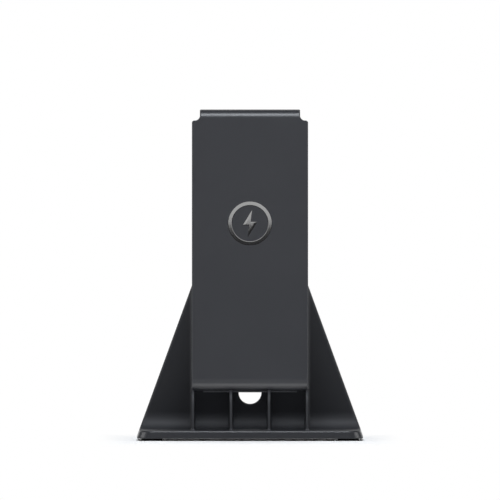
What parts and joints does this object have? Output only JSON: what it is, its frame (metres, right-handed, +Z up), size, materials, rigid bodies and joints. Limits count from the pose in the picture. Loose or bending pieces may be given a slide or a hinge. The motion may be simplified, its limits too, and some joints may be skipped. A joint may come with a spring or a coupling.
{
  "type": "controller charging stand",
  "caption": "Easel-shaped charging stand: an upright unit with a slide rail down either side rests on a folded, ribbed plastic stand with a cable slot in its back.",
  "frame": {"origin": "under the middle of the part, on the surface it stands on", "axes": "+Z up, front towards -Y, +X to the right seen from the front"},
  "size_m": [0.0902, 0.067, 0.1321],
  "materials": {
    "cover_abs": "fine moulded texture",
    "stand_abs": "satin moulded",
    "spine_abs": "satin moulded",
    "rail_steel": "cold rolled",
    "terminal_nylon": "moulded",
    "contact_gilt": "gold flash",
    "ribbon_film": "satin film",
    "board_laminate": "solder mask",
    "chip_epoxy": "moulded",
    "screw_steel": "zinc plated",
    "mark_ink": "gloss print",
    "foot_rubber": "matt"
  },
  "bodies": {
    "root": {"front_cover": "cover_abs", "rear_cover": "cover_abs", "spine_frame": "spine_abs", "left_rail": "rail_steel", "right_rail": "rail_steel", "left_terminal": "terminal_nylon", "right_terminal": "terminal_nylon", "left_contacts": "contact_gilt", "right_contacts": "contact_gilt", "left_ribbon": "ribbon_film", "right_ribbon": "ribbon_film", "left_rail_screws": "screw_steel", "right_rail_screws": "screw_steel", "ribbon_sockets": "terminal_nylon", "main_board": "board_laminate", "charge_chip": "chip_epoxy", "board_parts": "chip_epoxy", "usb_shell": "rail_steel", "usb_tongue": "terminal_nylon", "cover_screws": "screw_steel", "board_screws": "screw_steel", "stand_body": "stand_abs", "foot_front_left": "foot_rubber", "foot_front_right": "foot_rubber", "foot_rear_left": "foot_rubber", "foot_rear_right": "foot_rubber"}
  },
  "joints": []
}
